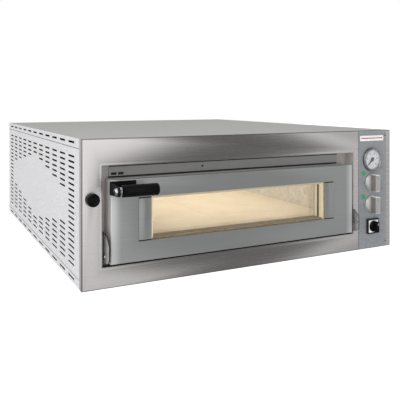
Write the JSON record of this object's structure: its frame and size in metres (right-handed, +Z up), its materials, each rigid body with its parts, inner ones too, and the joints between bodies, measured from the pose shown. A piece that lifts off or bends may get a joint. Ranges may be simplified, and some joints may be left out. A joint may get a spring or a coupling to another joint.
{
  "type": "countertop pizza oven",
  "caption": "Low, deep countertop electric pizza oven: one stone-floored chamber behind a drop-down window door, slotted sides and a control strip at the right.",
  "frame": {"origin": "middle of the casing's plan, on the surface the base pan rests on", "axes": "+Z up; the door, handle and controls face -Y; +X is to the right of someone facing the door, so the controls are at +X"},
  "size_m": [1.085, 1.3703, 0.4],
  "materials": {
    "galvanised_sheet": "hot-dip galvanised steel sheet, fine spangle, dull",
    "brushed_stainless": "stainless steel, scotch-brite brushed along its length",
    "aluminised_steel": "aluminised steel, mottled by heat",
    "cordierite": "cordierite baking slab, matt and slightly sandy",
    "mineral_wool": "mineral wool slab",
    "heater_sheath": "annealed stainless heater sheath",
    "lamp_ceramic": "glazed porcelain lamp holder",
    "ceramic_glass": "clear heat-resisting glass",
    "fibreglass_seal": "woven fibreglass rope",
    "chromed_steel": "bright chromium plate",
    "black_phenolic": "moulded phenolic, glossy",
    "black_powder_coat": "black powder coat, satin",
    "silver_grey_plastic": "silver-grey moulded plastic",
    "black_nylon": "black moulded nylon",
    "grey_label_film": "grey-blue screen-printed film",
    "green_lens": "translucent green lens",
    "black_needle": "black enamelled steel"
  },
  "bodies": {
    "casing": {"base_pan": "galvanised_sheet", "top_cover": "galvanised_sheet", "side_panel_left": "galvanised_sheet", "side_panel_right": "galvanised_sheet", "rear_panel": "galvanised_sheet", "front_fascia": "brushed_stainless", "door_surround": "brushed_stainless", "door_header": "brushed_stainless", "control_label": "grey_label_film", "chamber_floor": "aluminised_steel", "chamber_left_wall": "aluminised_steel", "chamber_right_wall": "aluminised_steel", "chamber_rear_wall": "aluminised_steel", "chamber_ceiling": "aluminised_steel", "hearth_stone_left_front": "cordierite", "hearth_stone_left_rear": "cordierite", "hearth_stone_right_front": "cordierite", "hearth_stone_right_rear": "cordierite", "heating_element_upper": "heater_sheath", "heating_element_lower": "heater_sheath", "insulation_sides": "mineral_wool", "insulation_top": "mineral_wool", "insulation_base": "mineral_wool", "chamber_lamp": "lamp_ceramic", "chamber_lamp_glass": "ceramic_glass", "steam_duct": "aluminised_steel", "gauge_case": "chromed_steel", "gauge_glass": "ceramic_glass", "thermostat_body_upper": "black_nylon", "thermostat_body_lower": "black_nylon", "main_switch_body": "black_nylon", "indicator_lamp_upper": "green_lens", "indicator_lamp_lower": "green_lens", "contactor": "black_nylon", "cable_gland": "black_nylon", "door_seal": "fibreglass_seal", "hinge_ear_left": "brushed_stainless", "hinge_ear_right": "brushed_stainless", "door_spring_left": "chromed_steel", "door_spring_right": "chromed_steel"},
    "door": {"door_outer_skin": "brushed_stainless", "door_inner_liner": "brushed_stainless", "door_insulation": "mineral_wool", "window_cover_left": "brushed_stainless", "window_cover_right": "brushed_stainless", "door_glass_outer": "ceramic_glass", "door_glass_inner": "ceramic_glass", "glass_gasket": "fibreglass_seal", "handle_bracket": "black_powder_coat", "handle_stud": "chromed_steel", "handle_grip": "black_phenolic", "hinge_pin_left": "chromed_steel", "hinge_pin_right": "chromed_steel"},
    "damper": {"damper_gate": "aluminised_steel", "damper_rod": "chromed_steel", "damper_knob": "black_phenolic"},
    "upper_knob": {"thermostat_knob_upper": "silver_grey_plastic"},
    "lower_knob": {"thermostat_knob_lower": "silver_grey_plastic"},
    "switch_knob": {"main_switch_knob": "black_phenolic"},
    "needle": {"gauge_needle": "black_needle"}
  },
  "joints": [
    {"name": "door_hinge", "type": "hinge", "parent": "casing", "child": "door", "pos_m": [-0.0555, -0.62, 0.085], "axis": [1, 0, 0], "range_deg": [0, 80], "stiffness_Nm_per_rad": 0.5, "springref_deg": -85.94},
    {"name": "steam_damper", "type": "slide", "parent": "casing", "child": "damper", "axis": [0, -1, 0], "range_m": [0, 0.05]},
    {"name": "upper_thermostat", "type": "hinge", "parent": "casing", "child": "upper_knob", "pos_m": [0.4575, -0.62, 0.223], "axis": [0, 1, 0], "range_deg": [0, 300]},
    {"name": "lower_thermostat", "type": "hinge", "parent": "casing", "child": "lower_knob", "pos_m": [0.4575, -0.62, 0.149], "axis": [0, 1, 0], "range_deg": [0, 300]},
    {"name": "main_switch", "type": "hinge", "parent": "casing", "child": "switch_knob", "pos_m": [0.4575, -0.62, 0.076], "axis": [0, 1, 0], "range_deg": [0, 90]},
    {"name": "gauge_needle", "type": "hinge", "parent": "casing", "child": "needle", "pos_m": [0.4575, -0.62, 0.301], "axis": [0, 1, 0], "range_deg": [0, 270], "stiffness_Nm_per_rad": 0.0005}
  ]
}
